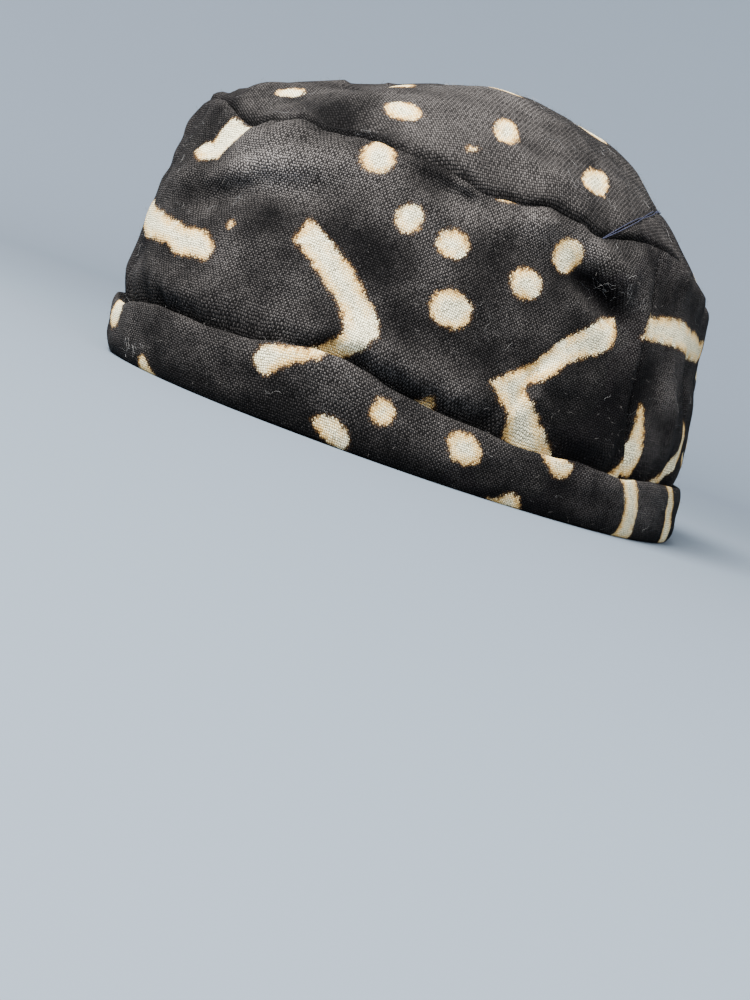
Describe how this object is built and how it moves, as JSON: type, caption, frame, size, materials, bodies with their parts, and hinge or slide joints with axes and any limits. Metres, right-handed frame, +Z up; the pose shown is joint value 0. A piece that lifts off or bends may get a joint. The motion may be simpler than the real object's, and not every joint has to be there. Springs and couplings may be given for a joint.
{
  "type": "kufi",
  "caption": "Brimless cloth cap with an oval domed crown, an upright side band and a puffy turned-up hem.",
  "frame": {"origin": "under the middle of the hat's outline, on the surface that the rim rests on", "axes": "+Z up; the front of the hat looks along -Y and the wearer's left is +X, so the longest extent runs along Y"},
  "size_m": [0.1924, 0.236, 0.1293],
  "materials": {
    "band_cloth": "black mud-dyed cotton with undyed cream figures",
    "crown_cloth": "coarser dark brown-black mud-dyed cotton with undyed cream dots"
  },
  "bodies": {
    "root": {"hem_band": "band_cloth", "side_band": "band_cloth", "crown_panel": "crown_cloth", "crown_edge_strip": "crown_cloth"}
  },
  "joints": []
}
